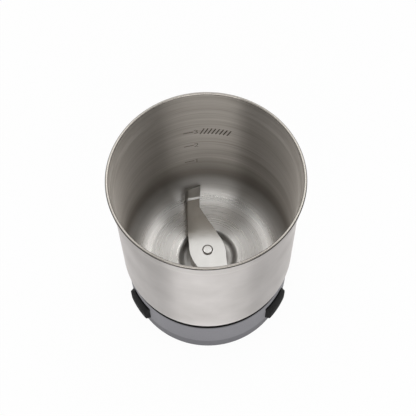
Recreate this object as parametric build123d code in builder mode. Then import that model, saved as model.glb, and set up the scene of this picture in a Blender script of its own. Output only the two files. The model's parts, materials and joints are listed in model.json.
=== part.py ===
from build123d import *
from math import cos, radians, sin, sqrt, tan
import os

# Removable grinding cup of an electric spice grinder, in millimetres.
# The origin is the centre of the base's underside, +Z runs up through the open mouth,
# and the blade turns about the Z axis. Radii are measured from that axis.

# ---------------------------------------------------------------- cup
overall_height = 105.7        # base underside to the top of the curled rim
rim_radius = 43.0             # outside of the curled rim
curl_radius = 0.9             # outside radius of the rim's curl
sheet = 0.8                   # stainless sheet
neck_depth = 8.5              # rim top to the middle of the neck step
neck_step = 1.15              # the neck is this much wider than the wall
neck_length = 1.8             # height over which the step happens
cup_seat_z = 22.3             # underside of the flat floor
corner_radius = 13.5          # outside of the floor-to-wall corner
well_top_radius = 13.9        # inside edge of the recess round the hub
well_floor_radius = 12.6
well_depth = 3.0
cup_hole_radius = 7.0         # for the bearing housing's tube

# ---------------------------------------------------------------- base skirt and lugs
skirt_setback = 1.15          # the skirt stands inside the cup's wall by this much
skirt_wall = 2.0
skirt_top_z = 26.4
skirt_flange = 2.5            # thickness of the inward flange at the bottom
skirt_opening_radius = 26.0   # the flange's hole, open to the drive
skirt_foot_fillet = 0.3
band_relief = 0.45            # the lower band stands back by this much
groove_z = 8.2                # lower side of the fine groove round the skirt
groove_width = 0.6
groove_depth = 0.95
gasket_width = 4.6            # seat gasket, across the part under the cup
seal_lip_height = 0.7         # the gasket's lip over the skirt's top edge
seal_lip_setback = 0.2        # that lip ends short of the skirt's face
lug_reach = 2.15              # how far the bayonet lugs stand out from the skirt
lug_bottom_z = 9.0
lug_height = 8.0
lug_half_angle = 11.2         # degrees, either side of the lug's middle
lug_taper = 1.6               # degrees that each end slants in towards the outer face
lug_root = 1.2                # flange that traps the lug inside the skirt
lug_root_margin = 1.2         # how far that flange overlaps the window
rear_lug_azimuth = 90.0
left_lug_azimuth = 211.8
right_lug_azimuth = 326.0

# ---------------------------------------------------------------- support frame
frame_plate = 2.2
frame_wall = 2.0              # backing wall behind each lug
backing_margin = 2.0          # degrees that this wall is wider than the lug
guard_wall = 2.2              # ring round the drive coupling
guard_foot_z = 5.0
rib_count = 12
rib_thickness = 1.6
rib_depth = 5.0
boss_radius = 3.2
screw_count = 3
screw_radius = 1.5
screw_head_radius = 2.7
screw_head_height = 1.2
screw_length = 10.5           # under the head
first_screw_azimuth = 30.0

# ---------------------------------------------------------------- bearing and spindle
spindle_radius = 2.5
bush_wall = 2.0
bush_length = 4.8
housing_wall = 2.0
housing_foot_z = 11.4
housing_flange_radius = 9.0
housing_flange = 1.5
housing_boss_wall = 1.8
seal_pocket_wall = 0.5        # the seal's pocket is wider than the bore by this much
seal_pocket_z = 22.6
housing_top_z = 25.6
gasket_thickness = 0.8
gasket_setback = 0.3          # the gasket ends short of the flange over it
washer_thickness = 0.8
washer_radius = 11.0
nut_height = 4.0
nut_across_flats = 19.0
cap_sheet = 0.4
cap_lap = 2.6                 # how far the seal cap reaches down the boss
circlip_thickness = 0.7
circlip_radius = 4.3
circlip_groove_depth = 0.45
thrust_washer_thickness = 0.45
thrust_washer_radius = 4.4

# ---------------------------------------------------------------- blade
blade_top_z = 30.1
blade_thickness = 1.8
blade_edge_x = 11.05          # leading edge to the axis
hub_edge_x = 9.2              # side of the hub to the axis
trailing_edge_x = 3.6         # trailing edge of an arm to the axis
diagonal_start_y = 23.4       # where the trailing edge turns towards the hub
diagonal_end_y = 2.3
hub_flare_start_y = 3.2       # the hub's side flares out to the leading edge
hub_flare_end_y = 22.0
bevel_width = 1.4
bevel_depth = 0.9
bend_y = 29.0                 # middle of the bend on an arm's centre line
bend_angle = 58.0             # how far the tip turns up
bend_radius = 2.6             # at mid thickness
bend_skew = 11.0              # the bend line's turn from square
tip_length = 5.0              # flat part beyond the bend
grinding_overrun = 5.0        # the ground edges are cut this far past the bend's middle
spacer_height = 1.9
spacer_radius = 5.2
flat_section = 1.6            # half the distance across the spindle's flats
neck_radius = 2.1             # flatted end of the spindle
rivet_radius = 2.65
rivet_height = 0.9

# ---------------------------------------------------------------- drive coupling
coupling_radius = 11.5
coupling_top_z = 9.7
coupling_disc = 2.9
coupling_hub_radius = 4.6
coupling_hub_foot_z = 3.2
coupling_floor = 1.0
tooth_count = 6
tooth_foot_z = 1.4
tooth_inner_radius = 5.8
tooth_root_half_angle = 14.0
tooth_tip_half_angle = 10.0
coupling_screw_radius = 1.0
coupling_screw_head_radius = 2.3
coupling_screw_head = 1.2
coupling_screw_length = 6.0

# ---------------------------------------------------------------- clearances
seat_gap = 0.02               # pieces pressed or screwed together
slip_gap = 0.1                # moulded pieces that slide together
bearing_gap = 0.05            # shaft in its bushes and seal
running_gap = 0.1             # thrust faces
turning_gap = 0.4             # blade spacer over the seal cap

# ---------------------------------------------------------------- worked-out sizes
neck_inside = rim_radius - 2 * curl_radius
wall_inside = neck_inside - neck_step
wall_outside = wall_inside + sheet
neck_z = overall_height - neck_depth
floor_z = cup_seat_z + sheet
well_floor_z = floor_z - well_depth
well_underside_z = well_floor_z - sheet
corner_centre_r = wall_outside - corner_radius
corner_centre_z = cup_seat_z + corner_radius

skirt_radius = wall_outside - skirt_setback
skirt_inside = skirt_radius - skirt_wall
band_radius = skirt_radius - band_relief
lug_radius = skirt_radius + lug_reach
lug_azimuths = (rear_lug_azimuth, left_lug_azimuth, right_lug_azimuth)
frame_wall_outside = skirt_inside - lug_root - 2 * slip_gap
frame_wall_inside = frame_wall_outside - frame_wall
frame_plate_z = cup_seat_z - frame_plate
web_z = well_underside_z - frame_plate
pocket_radius = well_top_radius + sheet + 3 * slip_gap
guard_outside = pocket_radius + guard_wall
screw_circle = frame_wall_inside - boss_radius + rib_thickness / 4

bush_outside = spindle_radius + bush_wall
housing_bore = bush_outside + seat_gap
housing_tube = housing_bore + housing_wall
housing_flange_z = well_floor_z + gasket_thickness
seal_pocket_radius = housing_bore + seal_pocket_wall
housing_boss_radius = seal_pocket_radius + housing_boss_wall
washer_z = web_z - washer_thickness
nut_z = washer_z - nut_height
cap_top_z = housing_top_z + cap_sheet
spacer_z = cap_top_z + turning_gap
blade_z = blade_top_z - blade_thickness
thrust_washer_z = housing_foot_z - running_gap - thrust_washer_thickness
circlip_z = thrust_washer_z - circlip_thickness


def ring_sector(inner, outer, middle, half_angle, taper=0):
    """Outline of a slice of a flat ring, centred on the azimuth called middle.

    Each end slants in by the taper, in degrees, on the way to the outer arc.
    """
    with BuildLine() as outline:
        inside = CenterArc((0, 0), inner, middle - half_angle, 2 * half_angle)
        outside = CenterArc((0, 0), outer, middle - half_angle + taper, 2 * (half_angle - taper))
        Line(inside @ 0, outside @ 0)
        Line(inside @ 1, outside @ 1)
    return outline.line


def revolved(points):
    """Solid of revolution about Z from a closed outline of (radius, height) points."""
    with BuildPart() as solid:
        with BuildSketch(Plane.XZ):
            with BuildLine():
                Polyline(*points, close=True)
            make_face()
        revolve(axis=Axis.Z)
    return solid


def save(piece, name):
    """Label a finished piece and write its STEP file."""
    piece.part.label = name
    export_step(piece.part, f"parts/{name}.step")


os.makedirs("parts", exist_ok=True)

# ================================================================ grinding cup
# One sheet follows the bowl's inside: well floor, well side, floor, corner, wall, neck
# step, and a tight curl that rolls outwards over the rim and closes under itself.
with BuildPart() as grinding_cup:
    with BuildSketch(Plane.XZ):
        with BuildLine():
            FilletPolyline(
                (cup_hole_radius, well_floor_z),
                (well_floor_radius, well_floor_z),
                (well_top_radius, floor_z),
                (wall_inside, floor_z),
                (wall_inside, neck_z - neck_length / 2),
                (neck_inside, neck_z + neck_length / 2),
                (neck_inside, overall_height - curl_radius),
                radius=[1.5 * sheet, 2 * sheet, corner_radius - sheet, 3 * sheet, 3 * sheet],
            )
            offset(amount=sheet, side=Side.RIGHT)
        make_face()
        with BuildLine():
            curl_centre = (neck_inside + curl_radius, overall_height - curl_radius)
            for skin in (curl_radius, curl_radius - sheet):
                for start in (180, 90, 0):
                    CenterArc(curl_centre, skin, start, -90)
            Line((neck_inside, curl_centre[1]), (neck_inside + sheet, curl_centre[1]))
            under = curl_centre[1] - curl_radius
            Line((curl_centre[0], under), (curl_centre[0], under + sheet))
        make_face()
    revolve(axis=Axis.Z, clean=False)
save(grinding_cup, "grinding_cup")

# ================================================================ seat gasket
# Soft ring between the frame and the cup's rounded corner. A lip folds out over the
# skirt's top edge and shows as the dark line between the steel and the skirt.
gasket_top_z = skirt_top_z + seal_lip_height
gasket_outer = skirt_inside - slip_gap
gasket_inner = gasket_outer - gasket_width
lip_outer = skirt_radius - seal_lip_setback
corner_reach = corner_radius + seat_gap
with BuildPart() as seat_gasket:
    with BuildSketch(Plane.XZ):
        with BuildLine():
            top_reach = sqrt(corner_reach**2 - (corner_centre_z - gasket_top_z) ** 2)
            side_drop = sqrt(corner_reach**2 - (gasket_inner - corner_centre_r) ** 2)
            upper = (corner_centre_r + top_reach, gasket_top_z)
            lower = (gasket_inner, corner_centre_z - side_drop)
            RadiusArc(lower, upper, -corner_reach)
            Polyline(
                upper,
                (lip_outer, gasket_top_z),
                (lip_outer, skirt_top_z + seat_gap),
                (gasket_outer, skirt_top_z + seat_gap),
                (gasket_outer, cup_seat_z),
                (gasket_inner, cup_seat_z),
                lower,
            )
        make_face()
    revolve(axis=Axis.Z)
save(seat_gasket, "seat_gasket")

# ================================================================ support frame
# Moulded frame: a plate under the cup's floor, a pocket for the well, a guard ring round
# the coupling, radial ribs, a backing wall behind each lug and screw bosses.
with BuildPart() as support_frame:
    with BuildSketch(Plane.XZ):
        with BuildLine():
            Polyline(
                (housing_tube + slip_gap, web_z),
                (housing_tube + slip_gap, well_underside_z),
                (pocket_radius, well_underside_z),
                (pocket_radius, cup_seat_z),
                (skirt_inside - 2 * slip_gap, cup_seat_z),
                (skirt_inside - 2 * slip_gap, frame_plate_z),
                (guard_outside, frame_plate_z),
                (guard_outside, guard_foot_z),
                (pocket_radius, guard_foot_z),
                (pocket_radius, web_z),
                close=True,
            )
        make_face()
    revolve(axis=Axis.Z)
    backing_angle = lug_half_angle + backing_margin
    rib_length = frame_wall_inside - guard_outside + guard_wall
    with BuildSketch(Plane.XY.offset(frame_plate_z - rib_depth)):
        with PolarLocations((guard_outside + frame_wall_inside) / 2, rib_count):
            Rectangle(rib_length, rib_thickness)
    extrude(amount=rib_depth)
    for azimuth in lug_azimuths:
        with BuildSketch(Plane.XY.offset(skirt_flange)):
            with BuildLine():
                add(ring_sector(frame_wall_inside, frame_wall_outside, azimuth, backing_angle))
            make_face()
        extrude(amount=frame_plate_z - skirt_flange)
    with BuildSketch(Plane.XY.offset(skirt_flange)):
        with PolarLocations(screw_circle, screw_count, start_angle=first_screw_azimuth):
            Circle(boss_radius)
    extrude(amount=frame_plate_z - skirt_flange)
    with BuildSketch(Plane.XY.offset(skirt_flange)):
        with PolarLocations(screw_circle, screw_count, start_angle=first_screw_azimuth):
            Circle(screw_radius + seat_gap)
    extrude(amount=screw_length, mode=Mode.SUBTRACT)
save(support_frame, "support_frame")

# ================================================================ base skirt
# Moulded cover ring: smooth upper band, fine groove, lower band set back a little,
# inward flange with counterbored screw holes, and one window for each lug.
with BuildPart() as base_skirt:
    with BuildSketch(Plane.XZ):
        with BuildLine():
            Polyline(
                (skirt_opening_radius, 0),
                (band_radius, 0),
                (band_radius, groove_z),
                (skirt_radius - groove_depth, groove_z),
                (skirt_radius - groove_depth, groove_z + groove_width),
                (skirt_radius, groove_z + groove_width),
                (skirt_radius, skirt_top_z),
                (skirt_inside, skirt_top_z),
                (skirt_inside, skirt_flange),
                (skirt_opening_radius, skirt_flange),
                close=True,
            )
        make_face()
    revolve(axis=Axis.Z)
    outer_rims = base_skirt.edges().filter_by(GeomType.CIRCLE)
    top_rims = outer_rims.filter_by_position(Axis.Z, skirt_top_z, skirt_top_z)
    foot_rims = outer_rims.filter_by_position(Axis.Z, 0, 0)
    fillet(top_rims, radius=skirt_wall / 4)
    fillet(foot_rims.sort_by(SortBy.RADIUS)[-1], radius=skirt_foot_fillet)
    for azimuth in lug_azimuths:
        with BuildSketch(Plane.XY.offset(lug_bottom_z - slip_gap)):
            with BuildLine():
                add(ring_sector(skirt_inside - 1, skirt_radius + 1, azimuth, lug_half_angle + 0.2))
            make_face()
        extrude(amount=lug_height + 2 * slip_gap, mode=Mode.SUBTRACT)
    with Locations(Plane((0, 0, 0), x_dir=(1, 0, 0), z_dir=(0, 0, -1))):
        with PolarLocations(screw_circle, screw_count, start_angle=-first_screw_azimuth):
            CounterBoreHole(
                radius=screw_radius + slip_gap,
                counter_bore_radius=screw_head_radius + 4 * slip_gap,
                counter_bore_depth=screw_head_height + slip_gap,
                depth=skirt_flange,
            )
save(base_skirt, "base_skirt")

# ================================================================ bayonet lugs
# Each lug has a curved root flange inside the skirt, and a block that passes through its
# window. Outside the skirt the block's ends slant in and its corners are rounded.
lug_names = ("bayonet_lug_rear", "bayonet_lug_left", "bayonet_lug_right")
for name, azimuth in zip(lug_names, lug_azimuths):
    root_angle = lug_half_angle + lug_root_margin * 57.3 / skirt_inside
    with BuildPart() as bayonet_lug:
        with BuildSketch(Plane.XY.offset(lug_bottom_z)):
            with BuildLine():
                add(ring_sector(skirt_inside - slip_gap - lug_root / 2, skirt_radius, azimuth, lug_half_angle))
            make_face()
            with BuildLine():
                add(ring_sector(skirt_radius, lug_radius, azimuth, lug_half_angle, lug_taper))
            make_face()
        extrude(amount=lug_height)
        uprights = bayonet_lug.edges().filter_by(Axis.Z).sort_by(SortBy.DISTANCE)
        fillet(uprights[-2:], radius=1.0)
        outer_face = bayonet_lug.faces().filter_by(GeomType.CYLINDER).sort_by(SortBy.AREA)[-1]
        fillet(outer_face.edges().filter_by(Axis.Z, reverse=True), radius=0.4)
        with BuildSketch(Plane.XY.offset(lug_bottom_z - lug_root_margin)):
            with BuildLine():
                add(ring_sector(frame_wall_outside + slip_gap, skirt_inside - slip_gap, azimuth, root_angle))
            make_face()
        extrude(amount=lug_height + 2 * lug_root_margin)
    save(bayonet_lug, name)

# ================================================================ base screws
with BuildPart() as base_screws:
    head_z = screw_head_height + slip_gap
    with BuildSketch(Plane.XY.offset(slip_gap)):
        with PolarLocations(screw_circle, screw_count, start_angle=first_screw_azimuth):
            Circle(screw_head_radius)
    extrude(amount=screw_head_height)
    with BuildSketch(Plane.XY.offset(head_z)):
        with PolarLocations(screw_circle, screw_count, start_angle=first_screw_azimuth):
            Circle(screw_radius)
    extrude(amount=screw_length)
    with BuildSketch(Plane.XY.offset(slip_gap)):
        with PolarLocations(screw_circle, screw_count, start_angle=first_screw_azimuth):
            Rectangle(2.8, 0.7)
            Rectangle(0.7, 2.8)
    extrude(amount=screw_head_height / 2, mode=Mode.SUBTRACT)
save(base_screws, "base_screws")

# ================================================================ bearing stack
housing_gasket = revolved([
    (housing_tube + slip_gap, well_floor_z),
    (housing_flange_radius - gasket_setback, well_floor_z),
    (housing_flange_radius - gasket_setback, housing_flange_z),
    (housing_tube + slip_gap, housing_flange_z),
])
save(housing_gasket, "housing_gasket")

# The housing hangs by its flange in the well. Its tube runs down through the cup and the
# frame, and its boss holds the shaft seal.
bearing_housing = revolved([
    (housing_bore, housing_foot_z),
    (housing_tube, housing_foot_z),
    (housing_tube, housing_flange_z),
    (housing_flange_radius, housing_flange_z),
    (housing_flange_radius, housing_flange_z + housing_flange),
    (housing_boss_radius, housing_flange_z + housing_flange),
    (housing_boss_radius, housing_top_z),
    (seal_pocket_radius, housing_top_z),
    (seal_pocket_radius, seal_pocket_z),
    (housing_bore, seal_pocket_z),
])
save(bearing_housing, "bearing_housing")

housing_washer = revolved([
    (housing_tube + seat_gap, washer_z),
    (washer_radius, washer_z),
    (washer_radius, web_z),
    (housing_tube + seat_gap, web_z),
])
save(housing_washer, "housing_washer")

with BuildPart() as housing_nut:
    with BuildSketch(Plane.XY.offset(nut_z)):
        RegularPolygon(nut_across_flats / 2, 6, major_radius=False)
        Circle(housing_tube + seat_gap, mode=Mode.SUBTRACT)
    extrude(amount=nut_height)
save(housing_nut, "housing_nut")


def plain_bush(foot_z):
    """Sintered bush with a running bore."""
    return revolved([
        (spindle_radius + bearing_gap, foot_z),
        (bush_outside, foot_z),
        (bush_outside, foot_z + bush_length),
        (spindle_radius + bearing_gap, foot_z + bush_length),
    ])


lower_bush = plain_bush(housing_foot_z)
save(lower_bush, "lower_bush")
upper_bush = plain_bush(seal_pocket_z - bush_length)
save(upper_bush, "upper_bush")

# Lip seal: a body ring in the pocket and a thin lip that leans up to the shaft.
seal_body = seal_pocket_radius - seat_gap
seal_lip = spindle_radius + bearing_gap
shaft_seal = revolved([
    (seal_body - 1.4, seal_pocket_z),
    (seal_body, seal_pocket_z),
    (seal_body, housing_top_z - slip_gap),
    (seal_body - 1.4, housing_top_z - slip_gap),
    (seal_body - 1.4, housing_top_z - 0.6),
    (seal_lip, housing_top_z - 0.3),
    (seal_lip, housing_top_z - 0.7),
    (seal_body - 1.4, housing_top_z - 1.6),
])
save(shaft_seal, "shaft_seal")

cap_inside = housing_boss_radius + seat_gap
seal_cap = revolved([
    (spindle_radius + turning_gap, housing_top_z),
    (cap_inside, housing_top_z),
    (cap_inside, housing_top_z - cap_lap),
    (cap_inside + cap_sheet, housing_top_z - cap_lap),
    (cap_inside + cap_sheet, cap_top_z),
    (spindle_radius + turning_gap, cap_top_z),
])
save(seal_cap, "seal_cap")

# ================================================================ spindle
# Round shaft with a clip groove, a flatted upper end that passes through the spacer and
# the blade and is peened over as a domed head, and a flat for the coupling below.
coupling_bore_z = coupling_hub_foot_z + coupling_floor
with BuildPart() as spindle:
    with BuildSketch(Plane.XY.offset(coupling_bore_z)):
        Circle(spindle_radius)
    extrude(amount=spacer_z - coupling_bore_z)
    with BuildSketch(Plane.XY.offset(spacer_z)):
        Circle(neck_radius)
        Rectangle(2 * neck_radius, 2 * flat_section, mode=Mode.INTERSECT)
    extrude(amount=blade_top_z - spacer_z)
    with BuildSketch(Plane.XZ):
        with BuildLine():
            crown = RadiusArc(
                (rivet_radius, blade_top_z + rivet_height / 3),
                (0, blade_top_z + rivet_height),
                -(rivet_radius**2 + (rivet_height * 2 / 3) ** 2) / (rivet_height * 4 / 3),
            )
            Polyline(crown @ 1, (0, blade_top_z), (rivet_radius, blade_top_z), crown @ 0)
        make_face()
    revolve(axis=Axis.Z)
    with BuildSketch(Plane.XY.offset(circlip_z)):
        Circle(spindle_radius + 1)
        Circle(spindle_radius - circlip_groove_depth, mode=Mode.SUBTRACT)
    extrude(amount=circlip_thickness, mode=Mode.SUBTRACT)
    with BuildSketch(Plane.XY.offset(coupling_bore_z)):
        with Locations((0, spindle_radius + flat_section)):
            Rectangle(4 * spindle_radius, 2 * spindle_radius)
    extrude(amount=coupling_top_z - coupling_bore_z, mode=Mode.SUBTRACT)
    with BuildSketch(Plane.XY.offset(coupling_bore_z)):
        Circle(coupling_screw_radius + seat_gap)
    extrude(amount=coupling_screw_length, mode=Mode.SUBTRACT)
save(spindle, "spindle")

with BuildPart() as blade_spacer:
    with BuildSketch(Plane.XY.offset(spacer_z)):
        Circle(spacer_radius)
        with BuildSketch(mode=Mode.PRIVATE) as shank:
            Circle(neck_radius + seat_gap)
            Rectangle(4 * neck_radius, 2 * (flat_section + seat_gap), mode=Mode.INTERSECT)
        add(shank.sketch, mode=Mode.SUBTRACT)
    extrude(amount=spacer_height - seat_gap)
    chamfer(blade_spacer.edges().filter_by(GeomType.CIRCLE).sort_by(SortBy.RADIUS)[-2:], length=0.4)
save(blade_spacer, "blade_spacer")

thrust_washer = revolved([
    (spindle_radius + seat_gap, thrust_washer_z),
    (thrust_washer_radius, thrust_washer_z),
    (thrust_washer_radius, thrust_washer_z + thrust_washer_thickness),
    (spindle_radius + seat_gap, thrust_washer_z + thrust_washer_thickness),
])
save(thrust_washer, "thrust_washer")

# E-shaped clip in the groove under the thrust washer.
with BuildPart() as circlip:
    with BuildSketch(Plane.XY.offset(circlip_z)):
        Circle(circlip_radius)
        Circle(spindle_radius + 0.5, mode=Mode.SUBTRACT)
        with PolarLocations((spindle_radius + circlip_radius) / 2 - 0.2, 3, start_angle=90):
            Rectangle(circlip_radius - spindle_radius + 0.6, 1.8)
        Circle(spindle_radius - circlip_groove_depth + seat_gap, mode=Mode.SUBTRACT)
        with Locations((0, -circlip_radius)):
            Rectangle(2.6, circlip_radius, mode=Mode.SUBTRACT)
    extrude(amount=circlip_thickness)
save(circlip, "circlip")

# ================================================================ blade
# Flat plate with two arms in half-turn symmetry. A long diagonal trailing edge runs into
# the hub, the hub's other side flares out to a straight ground leading edge, and each
# tip turns up about a slightly skewed line.
skew = radians(bend_skew)
along_bend = Vector(cos(skew), sin(skew), 0)
across_bend = Vector(-sin(skew), cos(skew), 0)
arm_middle_x = -(blade_edge_x + trailing_edge_x) / 2
bend_middle = Vector(arm_middle_x, bend_y, blade_top_z - blade_thickness / 2)
bend_start = bend_middle - across_bend * (bend_radius * tan(radians(bend_angle) / 2))


def bend_line_y(x):
    """Where the start of the bend crosses a line along the rear arm."""
    return bend_start.Y + (x - bend_start.X) * tan(skew)


half_outline = [
    (-blade_edge_x, bend_line_y(-blade_edge_x)),
    (-trailing_edge_x, bend_line_y(-trailing_edge_x)),
    (-trailing_edge_x, diagonal_start_y),
    (hub_edge_x, diagonal_end_y),
    (hub_edge_x, -hub_flare_start_y),
    (blade_edge_x, -hub_flare_end_y),
]
other_half = [(-x, -y) for x, y in half_outline]
corner_fillets = [1.5, 16.0, 5.0, 12.0]      # trailing corner, hub, flare's two ends


def tip_section(turn):
    """Cross-section of the arm, turned up by an angle in degrees about the bend."""
    lift = radians(turn)
    bend_centre = bend_start + Vector(0, 0, bend_radius)
    shift = along_bend * (bend_radius * lift * tan(skew))
    middle = bend_centre + across_bend * (bend_radius * sin(lift)) - Vector(0, 0, bend_radius * cos(lift)) + shift
    normal = Vector(0, 0, cos(lift)) - across_bend * sin(lift)
    half = blade_thickness / 2
    edge = (-blade_edge_x - arm_middle_x) / cos(skew)
    ground = edge + bevel_width / cos(skew)
    profile = [(edge, -half), (-edge, -half), (-edge, half), (ground, half), (edge, half - bevel_depth)]
    return [middle + along_bend * s + normal * n for s, n in profile]


with BuildPart() as blade_tip:
    for turn in (0, bend_angle / 3, 2 * bend_angle / 3, bend_angle):
        corners = tip_section(turn)
        section_plane = Plane(corners[0], x_dir=along_bend, z_dir=along_bend.cross(corners[2] - corners[1]))
        with BuildSketch(section_plane):
            with BuildLine():
                Polyline(*[section_plane.to_local_coords(corner) for corner in corners], close=True)
            make_face()
    loft()
    lift = radians(bend_angle)
    end_face = blade_tip.faces().sort_by(Axis.Z)[-1]
    tip_direction = across_bend * cos(lift) + Vector(0, 0, sin(lift)) + along_bend * tan(skew)
    tip_face = min(blade_tip.faces(), key=lambda face: (face.center() - sum(tip_section(bend_angle), Vector()) / 5).length)
    extrude(tip_face, amount=tip_length, dir=tip_direction)

with BuildPart() as blade:
    with BuildSketch(Plane.XY.offset(blade_z)) as plate:
        with BuildLine():
            Polyline(*half_outline, *other_half, close=True)
        make_face()
        for (x, y), radius in zip(half_outline[2:], corner_fillets):
            ends = [v for v in plate.vertices() if min(
                (Vector(v.X, v.Y) - Vector(x, y)).length, (Vector(v.X, v.Y) + Vector(x, y)).length) < 0.01]
            fillet(ends, radius=radius)
        with BuildSketch(mode=Mode.PRIVATE) as shank_hole:
            Circle(neck_radius + seat_gap)
            Rectangle(4 * neck_radius, 2 * (flat_section + seat_gap), mode=Mode.INTERSECT)
        add(shank_hole.sketch, mode=Mode.SUBTRACT)
    extrude(amount=blade_thickness)
    # The ground edges: a long shallow wedge is cut along each leading edge.
    ground_length = bend_y + grinding_overrun
    with BuildSketch(Plane.XZ.offset(-ground_length)):
        with BuildLine():
            ground_x = blade_edge_x - bevel_width
            slope = bevel_depth / bevel_width
            overrun = bevel_width + 1
            Polyline(
                (-ground_x, blade_top_z),
                (-ground_x - overrun, blade_top_z),
                (-ground_x - overrun, blade_top_z - slope * overrun),
                close=True,
            )
        make_face()
    extrude(amount=ground_length, mode=Mode.SUBTRACT)
    with BuildSketch(Plane.XZ):
        with BuildLine():
            Polyline(
                (ground_x, blade_top_z),
                (ground_x + overrun, blade_top_z),
                (ground_x + overrun, blade_top_z - slope * overrun),
                close=True,
            )
        make_face()
    extrude(amount=ground_length, mode=Mode.SUBTRACT)
    with PolarLocations(0, 2):
        add(blade_tip.part)
save(blade, "blade")

# ================================================================ drive coupling
# Moulded dog clutch: a disc, a hub with a flatted bore, and wedge teeth with tapered
# flanks that reach down to the motor's mating teeth.
with BuildPart() as drive_coupling:
    with BuildSketch(Plane.XY.offset(coupling_top_z - coupling_disc)):
        Circle(coupling_radius)
    extrude(amount=coupling_disc)
    with BuildSketch(Plane.XY.offset(coupling_hub_foot_z)):
        Circle(coupling_hub_radius)
    extrude(amount=coupling_top_z - coupling_hub_foot_z)
    for index in range(tooth_count):
        azimuth = index * 360 / tooth_count
        with BuildSketch(Plane.XY.offset(coupling_top_z - coupling_disc)):
            with BuildLine():
                add(ring_sector(tooth_inner_radius, coupling_radius, azimuth, tooth_root_half_angle))
            make_face()
        with BuildSketch(Plane.XY.offset(tooth_foot_z)):
            with BuildLine():
                add(ring_sector(tooth_inner_radius, coupling_radius, azimuth, tooth_tip_half_angle))
            make_face()
        loft()
    with BuildSketch(Plane.XY.offset(coupling_bore_z)):
        Circle(spindle_radius + seat_gap)
        with Locations((0, spindle_radius + flat_section + seat_gap)):
            Rectangle(4 * spindle_radius, 2 * spindle_radius, mode=Mode.SUBTRACT)
    extrude(amount=coupling_top_z - coupling_bore_z, mode=Mode.SUBTRACT)
    with BuildSketch(Plane.XY.offset(coupling_hub_foot_z)):
        Circle(coupling_screw_radius + slip_gap)
    extrude(amount=coupling_floor, mode=Mode.SUBTRACT)
save(drive_coupling, "drive_coupling")

with BuildPart() as coupling_screw:
    with BuildSketch(Plane.XY.offset(coupling_hub_foot_z - coupling_screw_head)):
        Circle(coupling_screw_head_radius)
    extrude(amount=coupling_screw_head)
    with BuildSketch(Plane.XY.offset(coupling_hub_foot_z)):
        Circle(coupling_screw_radius)
    extrude(amount=coupling_screw_length)
    with BuildSketch(Plane.XY.offset(coupling_hub_foot_z - coupling_screw_head)):
        Rectangle(3.0, 0.7)
        Rectangle(0.7, 3.0)
    extrude(amount=coupling_screw_head / 2, mode=Mode.SUBTRACT)
save(coupling_screw, "coupling_screw")
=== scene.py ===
"""Grinding cup of a spice grinder: surfaces, finishes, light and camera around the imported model.

Lengths are millimetres until make_piece turns points to metres. The floor, the lamps and the
camera are placed in metres.
"""
import json

import bmesh
import bpy
import numpy as np
from mathutils import Matrix


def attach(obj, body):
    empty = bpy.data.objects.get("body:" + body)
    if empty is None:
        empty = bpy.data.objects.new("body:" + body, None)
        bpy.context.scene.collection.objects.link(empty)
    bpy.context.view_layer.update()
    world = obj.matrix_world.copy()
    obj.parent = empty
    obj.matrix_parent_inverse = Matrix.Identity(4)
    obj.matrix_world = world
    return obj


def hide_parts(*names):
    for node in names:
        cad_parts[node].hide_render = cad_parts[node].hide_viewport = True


MM = 0.001
TAU = 2 * np.pi
SEAT = 0.02               # gap between pieces that rest on each other

# cup
RIM_TOP = 105.7
CURL_R = 0.7              # radius of the rolled rim
CURL_CORE = 0.08          # radius left open inside the roll
SHEET = 0.8
NECK_R = 41.35            # inside the neck
NECK_FOOT = 96.1          # the neck's step begins here
NECK_HEAD = 98.3          # and ends here
WALL_R = 40.05            # inside the wall
FLOOR_TOP = 23.1
FLOOR_ARC = 12.7          # inside radius between floor and wall
CORNER_R = WALL_R - FLOOR_ARC             # centre of that arc
CORNER_Z = FLOOR_TOP + FLOOR_ARC
WELL_TOP = 20.1
WELL_HOLE = 7.0           # hole in the well's bottom
WELL_FLAT = 12.6          # radius of the bottom
WELL_LIP = 13.9           # radius at which the well's side meets the floor
CUP_SEGMENTS = 288

# where the cup's finishes change
FILM_LOW, FILM_HIGH = 24.0, 36.0          # the bore's film begins up the corner
BRUSHED_LOW, BRUSHED_HIGH = 24.0, 38.0    # the floor's brushing ends up the corner
FOOT_SHADE_LOW, FOOT_SHADE_HIGH = 30.0, 54.0          # painted shade: the bore is darkest below and plain above
SHADE_BAND_START = (-50, -30)                   # angles round the curl between which its painted shade band fades in
SHADE_BAND_END = (42, 56)                       # and out again

# blade
BLADE_TOP = 30.1
PLATE = 1.8
BREAK = 0.09              # rounding of the plate's edges
EDGE_X = 11.05            # leading edge
HUB_X = 9.2               # side of the hub
TRAIL_X = 3.6             # trailing edge
DIAGONAL_START = 23.4     # distance from the axis at which the trailing edge turns into the diagonal
DIAGONAL_END = 2.3        # and at which the diagonal meets the hub
FLARE_START = 3.2         # distance from the axis at which the hub flares out
FLARE_END = 22.0          # and at which the flare meets the leading edge
GRIND_X = 9.65            # inner side of the ground edge
GRIND_SLOPE = 0.9 / 1.4   # depth over width of the ground edge
GRIND_LOW, GRIND_HIGH = 7.0, 12.0         # distances from the axis between which it fades in
GROUND_DEPTH = 0.4        # ground this deep, the steel looks fully ground
BEND_Y = 29.0             # corner between the plate and its tip, if there were no bend radius
BEND_ANGLE = np.radians(58.0)
BEND_R = 2.6
SKEW = np.radians(11.0)   # turn of the bend line in plan
LEAN_START = 21.0         # distance from the axis at which the rows begin to lean with it
TIP = 5.0                 # length of the flat part beyond the bend
TIP_MIDDLE = 0.9395       # share of that length which the tip has in its middle
TIP_SLANT = 0.11          # more on the trailing side and less on the leading side
BOW = 0.3                 # rise of the flat plate from the hub to the bend

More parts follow.
